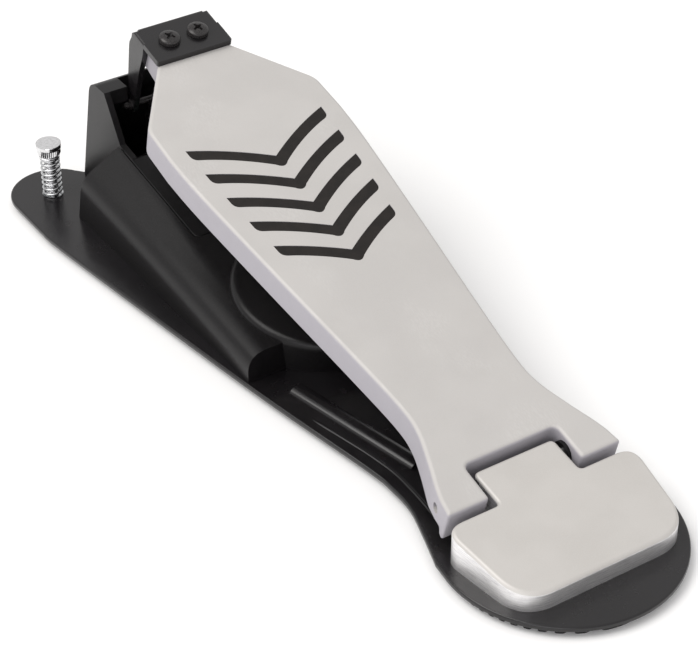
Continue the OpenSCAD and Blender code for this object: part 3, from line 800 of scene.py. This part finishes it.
def bend_cutter(r, length):
    """What a bend of outer radius r takes off a square edge along +Y, at the origin, on its -X side."""
    loop = [(-0.6, 0.6), (-0.6, -r), (0, -r)] + arc(r, -r, r, 180, 90, 8) + [(r, 0.6)]
    return stack([[(x, y, z) for x, z in loop] for y in (0, length)])


def bracket_arm():
    """Side view of a bracket arm, which narrows down to the cross pin."""
    inside = BRACKET_TOP - 0.4
    points = [(277, inside), (286.2, inside), (287.8, 7.8), (287.9, 5.3), (289.4, 1.7),
              (289.6, -0.8), (288.4, -21.2), (287, -36), (286, -37.2), (283, -37.2), (281.8, -36),
              (280.3, -20.7), (278.9, -7.3), (277, 2.5)]
    return rounded(points, [0, 0.6, 0.6, 0.8, 0.8, 0.8, 4, 0.6, 0.6, 0.6, 0.6, 4, 4, 3], 3)


def toe_bracket():
    # The arms and the flange stay within the plate by this much, so that no faces coincide
    within = 0.03
    screw_hole_r, pin_hole_r = 2.7, 1.52
    heel_u, shoulder_u, toe_u = 263.3, 285, 287.7
    hw, flange_hw = BRACKET_HW, 16.5
    outline = [(-hw, heel_u), (hw, heel_u), (hw, shoulder_u), (flange_hw, shoulder_u), (flange_hw, toe_u),
               (-flange_hw, toe_u), (-flange_hw, shoulder_u), (-hw, shoulder_u)]
    plate = slab(rounded(outline, [1.2, 1.2, 0.6, 0.5, 0, 0, 0.5, 0.6], 4),
                 BRACKET_TOP - BRACKET_T, BRACKET_TOP)
    add(plate, block(-flange_hw + within, flange_hw - within, toe_u - BRACKET_T, toe_u - within,
                     -10, BRACKET_TOP - 0.4))
    arm = bracket_arm()
    for s in (-1, 1):
        add(plate, bar(arm, *sorted((s * (hw - within), s * (hw - BRACKET_T)))))
    for s in (-1, 1):
        side = bend_cutter(1.4, 14)
        moved(side, -hw, 276.7, BRACKET_TOP)
        if s > 0:
            placed(side, Matrix.Scale(-1, 4, (1, 0, 0)))
            side.data.flip_normals()
        cut(plate, side)
        cut(plate, moved(rod(screw_hole_r, 20), s * SCREW_X, SCREW_U, 0))
    rear = placed(bend_cutter(1.8, 40), Matrix.Rotation(-math.pi / 2, 4, "Z"))
    cut(plate, moved(rear, -20, toe_u, BRACKET_TOP))
    cut(plate, cross_rod(pin_hole_r, PIN_U, PIN_W))
    place(plate, "toe_bracket_sheet", "footboard", "black_sheet_steel", replaces=["toe_bracket"],
          matrix=BOARD, bevel=0.6)


def cross_recess(size, depth):
    """What a cross recess takes off a screw head whose top is at z = 0: two wings and a cone."""
    above = 1.5
    square = ((-1, -1), (1, -1), (1, 1), (-1, 1))
    levels = ((0.42, 0.7, -depth), (1.0, 1.0, 0.0), (1.1, 1.1, above))
    tool = None
    for turn in (0, 90):
        wing = stack([[(x * size / 2 * f, y * size / 9 * g, z) for x, y in square]
                      for f, g, z in levels])
        placed(wing, Matrix.Rotation(math.radians(turn), 4, "Z"))
        tool = wing if tool is None else add(tool, wing)
    return add(tool, turned([(0, -depth - 0.4), (size * 0.2, -depth + 0.3), (size * 0.25, 0.0),
                             (size * 0.26, above), (0, above)], 16))


def pan_head(r, h):
    """Profile of a pan head from its shank outwards and up to the middle."""
    side = h * 0.52
    crown = [(r - 0.12, side * 0.85)]
    for k in range(9):
        a = math.radians(8 + 82 * k / 9)
        crown.append((r * math.cos(a) * 0.985, side + (h - side) * math.sin(a)))
    return [(r - 0.25, 0), (r, 0.25)] + crown + [(0, h)]


def bracket_screws():
    shank = [(0, -9), (1.9, -9), (2.2, -8.6), (2.2, 0)]
    screws = []
    for s in (-1, 1):
        screw = turned(shank + pan_head(5, 3.25), 56)
        cut(screw, moved(cross_recess(5.4, 2.1), z=3.15))
        turn = 38 if s < 0 else 20  # each screw stopped at its own angle
        placed(screw, Matrix.Rotation(math.radians(turn), 4, "Z"))
        screws.append(moved(screw, s * SCREW_X, SCREW_U, BRACKET_TOP))
    place(joined(screws), "bracket_pan_screws", "footboard", "black_screw_steel",
          replaces=["bracket_screws"], matrix=BOARD, bevel=0.12)


# ---- Lower cover and tower --------------------------------------------------------------


def cover_half(y, d):
    """Right half of the cover's section at y, moved inwards by d: wall, cowl and flat deck."""
    f = y / COVER_TOE_Y
    hw = 51.6 + 1.6 * f - d
    top = deck_z(y) - d
    edge = DECK_Z + 9.4 * f - d  # upper end of the wall, where the cowl starts
    flat = 38 - 3.5 * f - 0.3 * d  # where the cowl meets the deck
    soft = 9.5 - 2.5 * f
    foot = BASE_TOP - (4 if d else 2)  # the inner solid reaches lower than the outer one
    return ([(hw, foot)]
            + corner((hw, BASE_TOP), (hw, edge), (flat, top), soft - 0.9 * d, 14)
            + corner((hw, edge), (flat, top), (0, top), 3.6, 8))


def cover_loft(y0, y1, d, steps=36):
    """The cover from y0 to y1, moved inwards by d. Its sections lean over more and more, up to
    the footboard's tilt at the toe end."""
    rings = []
    for j in range(steps + 1):
        y = y0 + (y1 - y0) * j / steps
        lean = math.tan(TILT) * y / COVER_TOE_Y
        section = mirrored(cover_half(y, d))
        rings.append([(x, y + (deck_z(y) - z) * lean, z) for x, z in section])
    return stack(rings)


def round_housing(d):
    """The round housing on the deck, moved inwards by d, from its soft upper edge far down."""
    r, rise, foot = DISC_R - d, DISC_RISE - d, -60 - d
    profile = [(0, foot), (r, foot)] + corner((r, foot), (r, rise), (0, rise), 4, 10) + [(0, rise)]
    return placed(turned(profile, 128), DISC)


def tongue_half(hw, y, y1):
    """Right half of the tower's tongue seen from above, from y to y1."""
    return corner((0, y), (hw, y), (hw, y1), 3, 8) + [(hw, y1)]


JACK_X, JACK_Z = 42.5, 19.5
JACK_Y = COVER_TOE_Y + (deck_z(COVER_TOE_Y) - JACK_Z) * math.tan(TILT)
JACK = Matrix.Translation((JACK_X, JACK_Y, JACK_Z)) @ Matrix.Rotation(TILT - math.pi / 2, 4, "X")


def lower_cover():
    ob = add(cover_loft(0, COVER_TOE_Y, 0), round_housing(0))
    keep(ob, block(-90, 90, -90, 220, BASE_TOP, 90))
    inner = keep(cover_loft(-5, COVER_TOE_Y - WALL, WALL), block(-90, 90, WALL, 200, -20, 100))
    add(inner, round_housing(WALL))
    cut(ob, inner)
    # The opening for the tower, with a gap of 0.4 mm round its tongue
    cut(ob, slab(tidy(mirrored(tongue_half(TOWER_HW + 0.7, TONGUE_Y - 0.4, 200))), -10, 90))
    jack_hole_r = 4.6
    cut(ob, placed(rod(jack_hole_r, 20), JACK @ Matrix.Translation((0, 0, -10))))
    place(ob, "deck_cover", "base", "black_moulding", replaces=["lower_cover"], bevel=0.35, sharp=32)


def tower_side():
    """Side view of the tower, from the pit's heel side to the slope that faces the toe."""
    toe_foot, toe_top = 185.8, 171.8
    return ([(PIT_Y, BASE_TOP), (toe_foot, BASE_TOP)]
            + corner((toe_foot, BASE_TOP), (toe_top, TOWER_TOP), (TOWER_Y, TOWER_TOP), 7.4, 12)
            + [(TOWER_Y, TOWER_TOP), (COVER_TOE_Y, deck_z(COVER_TOE_Y)), (PIT_Y, deck_z(PIT_Y) + 0.1)])


def tower_housing():
    ob = bar(tower_side(), -TOWER_HW, TOWER_HW)
    tongue = slab(tidy(mirrored(tongue_half(TOWER_HW + 0.3, TONGUE_Y, 140))),
                  lambda y: deck_z(y) - WALL, deck_z, top=0.35, steps=3)
    add(ob, tongue)
    side, sill, pit_heel = 3, deck_z(PIT_Y) - 3, PIT_Y + 0.02
    room = [(pit_heel, sill), (pit_heel, 90), (165.6, 90), (167.4, TOWER_TOP - 9), (181.8, -1),
            (PIT_Y + WALL, -1), (PIT_Y + WALL, sill)]
    pit = bar(room, side - TOWER_HW, TOWER_HW - side)
    # On the toe side of TOWER_Y and above this height, the pit is only as wide as the bracket's gap
    gap, height = 21.5, 56.5
    cut(pit, block(gap, 50, TOWER_Y, 190, height, 95), block(-50, -gap, TOWER_Y, 190, height, 95))
    cut(ob, pit)
    place(ob, "tower_moulding", "base", "black_moulding", replaces=["tower_housing"], bevel=0.7)


def stop_cushion():
    """The cushion on the round housing: a flat foot, a straight neck and a dished top."""
    ob = turned([(0, 0), (11.4, 0), (12, 0.5), (12, 2.0), (11.5, 2.5), (9.8, 2.6), (9.1, 3.2), (9, 4),
                 (9, 14.8), (8.7, 15.6), (7.9, 16.0), (4.4, 16.0), (4.0, 15.6), (3.6, 14.4), (0, 14.2)])
    place(ob, "rubber_stop", "base", "black_rubber", replaces=["stop_cushion"],
          matrix=DISC @ Matrix.Translation((0, 0, DISC_RISE)))


# ---- Springs and anchor bolts -----------------------------------------------------------


def coil_rise(t, turns):
    """Share of the height at share t of the wire: slow in the end turns, even between them."""
    e = 0.8 / turns
    if t < e:
        return 0.5 * t * t / e / (1 - e)
    if t > 1 - e:
        return 1 - 0.5 * (1 - t) ** 2 / e / (1 - e)
    return (t - 0.5 * e) / (1 - e)


def coil(x, y, mean_r, wire, turns, z0, z1, per_turn=36, sides=12):
    """A compression spring between z0 and z1, ground flat at both ends."""
    n = round(turns * per_turn)
    rise = z1 - z0 - wire
    rings = []
    for i in range(n + 1):
        a = 2 * math.pi * turns * i / n
        mid = z0 + wire / 2 + rise * coil_rise(i / n, turns)
        ring = []
        for k in range(sides):
            b = 2 * math.pi * k / sides
            r = mean_r + wire / 2 * math.cos(b)
            z = min(z1, max(z0, mid + wire / 2 * math.sin(b)))
            ring.append((x + r * math.cos(a), y + r * math.sin(a), z))
        rings.append(ring)
    return stack(rings)


def spring(name, node, x, y, mean_r, wire, turns, z0, z1, slot):
    """A spring that stands on z0 and reaches up to z1, with a mesh of its own."""
    ob = coil(x, y, mean_r, wire, turns, z0, z1)
    place(ob, name, "base", slot, replaces=[node])
    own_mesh(ob)


def threaded_rod(r, z0, z1, pitch=1.0, depth=0.55, n=28, per_pitch=8):
    """A rod with a thread that winds about it, and a tapered tip below z0."""
    rows = []
    count = int((z1 - z0) / pitch * per_pitch)
    for j in range(count + 1):
        z = z0 + (z1 - z0) * j / count
        fade = min(1.0, (z - z0) / pitch, (z1 - z) / pitch)
        row = []
        for i in range(n):
            a = 2 * math.pi * i / n
            wave = abs(((z - z0) / pitch - i / n) % 1.0 * 2 - 1)
            q = r - depth * (1 - fade * min(1.0, 1.25 * wave))
            row.append((q * math.cos(a), q * math.sin(a), z))
        rows.append(row)
    tip = [[(x * f, y * f, z0 - d) for x, y, _ in rows[0]] for f, d in ((0.25, 3.6), (0.62, 1.8))]
    return stack(tip + rows)


def knurled_head(r, h, teeth=34):
    """A knob with straight V knurls and a smooth, slightly wider collar above them."""
    groove = (0.0, 0.55, 1.0, 0.55)
    # Height, how far the outside stands out from r, and the depth of the knurls
    levels = ((0, -1.2, 0), (0.35, -0.75, 0), (0.9, -0.25, 0.15), (1.15, 0, 0.5), (3.5, 0, 0.5),
              (3.85, -0.1, 0.2), (4.2, 0.0, 0), (4.3, 0.45, 0), (4.55, 0.6, 0), (6.15, 0.6, 0),
              (6.4, 0.45, 0), (h, 0.1, 0))
    n = teeth * len(groove)
    rings = []
    for z, out, deep in levels:
        ring = []
        for i in range(n):
            a = 2 * math.pi * i / n
            q = r + out - groove[i % len(groove)] * deep
            ring.append((q * math.cos(a), q * math.sin(a), z))
        rings.append(ring)
    return stack(rings)


def anchors():
    top, head = 33.1, 6.5
    low = top - head
    washer = low - 0.85  # the washer is 0.8 thick, with a little air below the head
    for side, s in (("left", -1), ("right", 1)):
        x, y = s * ANCHOR[0], ANCHOR[1]
        knob = moved(knurled_head(5.5, head), x, y, low)
        shank = moved(threaded_rod(2.95, 4.0, low + 0.3), x, y)
        place(joined([knob, shank]), "floor_anchor_" + side, "anchor_bolt_" + side, "chrome_steel",
              replaces=["anchor_bolt_" + side], sharp=30)
        ring = turned([(3.05, 0), (4.8, 0), (5, 0.15), (5, 0.65), (4.8, 0.8), (3.05, 0.8), (3.05, 0)], 48)
        place(moved(ring, x, y, washer), "spring_washer_" + side, "anchor_washer_" + side,
              "chrome_steel", replaces=["anchor_washer_" + side], sharp=30)
        spring("floor_spring_" + side, "anchor_spring_" + side, x, y,
               mean_r=4.3, wire=1.1, turns=8, z0=BASE_TOP, z1=washer, slot="zinc_steel")


def pedal_spring():
    spring("pedal_spring", "return_spring", 0, SPRING_Y,
           mean_r=6.1, wire=1.4, turns=5.5, z0=9.0, z1=46.0, slot="zinc_steel")


# ---- Making everything ------------------------------------------------------------------

base_plate()
rubber_sheets()
heel_plate()
footboard()
toe_bracket()
bracket_screws()
lower_cover()
tower_housing()
stop_cushion()
anchors()
pedal_spring()

# ---- Floor, light and camera ------------------------------------------------------------


def floor():
    """A white floor, 80 m wide, that the part stands on."""
    size = 40
    ob = mesh_object([(-size, -size, 0), (size, -size, 0), (size, size, 0), (-size, size, 0)],
                     [[0, 1, 2, 3]], "floor")
    s = Shader("floor_white", (0.93, 0.93, 0.93), roughness=0.7)
    s.use(Base_Color=s.mix(s.noise(400, 2), (0.925, 0.925, 0.925), (0.935, 0.935, 0.935)))
    ob.data.materials.append(s.done())


def area_light(name, place_at, aim, size, power, colour=(1, 1, 1)):
    data = bpy.data.lights.new(name, "AREA")
    data.shape, data.size, data.size_y = "RECTANGLE", size[0], size[1]
    data.energy, data.color = power, colour
    ob = bpy.data.objects.new(name, data)
    bpy.context.scene.collection.objects.link(ob)
    ob.location = place_at
    ob.rotation_euler = (Vector(aim) - Vector(place_at)).to_track_quat("-Z", "Y").to_euler()


def studio():
    """A bright surround, a soft key light from above on the left, and a weak fill from the heel."""
    world = bpy.data.worlds.new("studio")
    bpy.context.scene.world = world
    world.use_nodes = True
    world.node_tree.nodes["Background"].inputs["Color"].default_value = (1.0, 0.99, 0.985, 1)
    world.node_tree.nodes["Background"].inputs["Strength"].default_value = 0.8
    area_light("key", (-0.9, 0.3, 1.5), (0, 0, 0.03), (1.2, 1.2), 18, (1.0, 0.985, 0.96))
    area_light("fill", (-1.1, -1.2, 0.7), (0, -0.05, 0.03), (1.0, 0.8), 5, (0.97, 0.96, 1.0))


def camera():
    data = bpy.data.cameras.new("camera")
    data.lens, data.sensor_width = 111.96, 36
    ob = bpy.data.objects.new("camera", data)
    bpy.context.scene.collection.objects.link(ob)
    ob.location = (-0.4103, -0.6340, 0.5712)
    ob.rotation_euler = (math.radians(90 - 36.427), math.radians(0.09), math.radians(-32.926))
    bpy.context.scene.camera = ob


floor()
studio()
camera()
bpy.context.scene.view_settings.view_transform = "Standard"
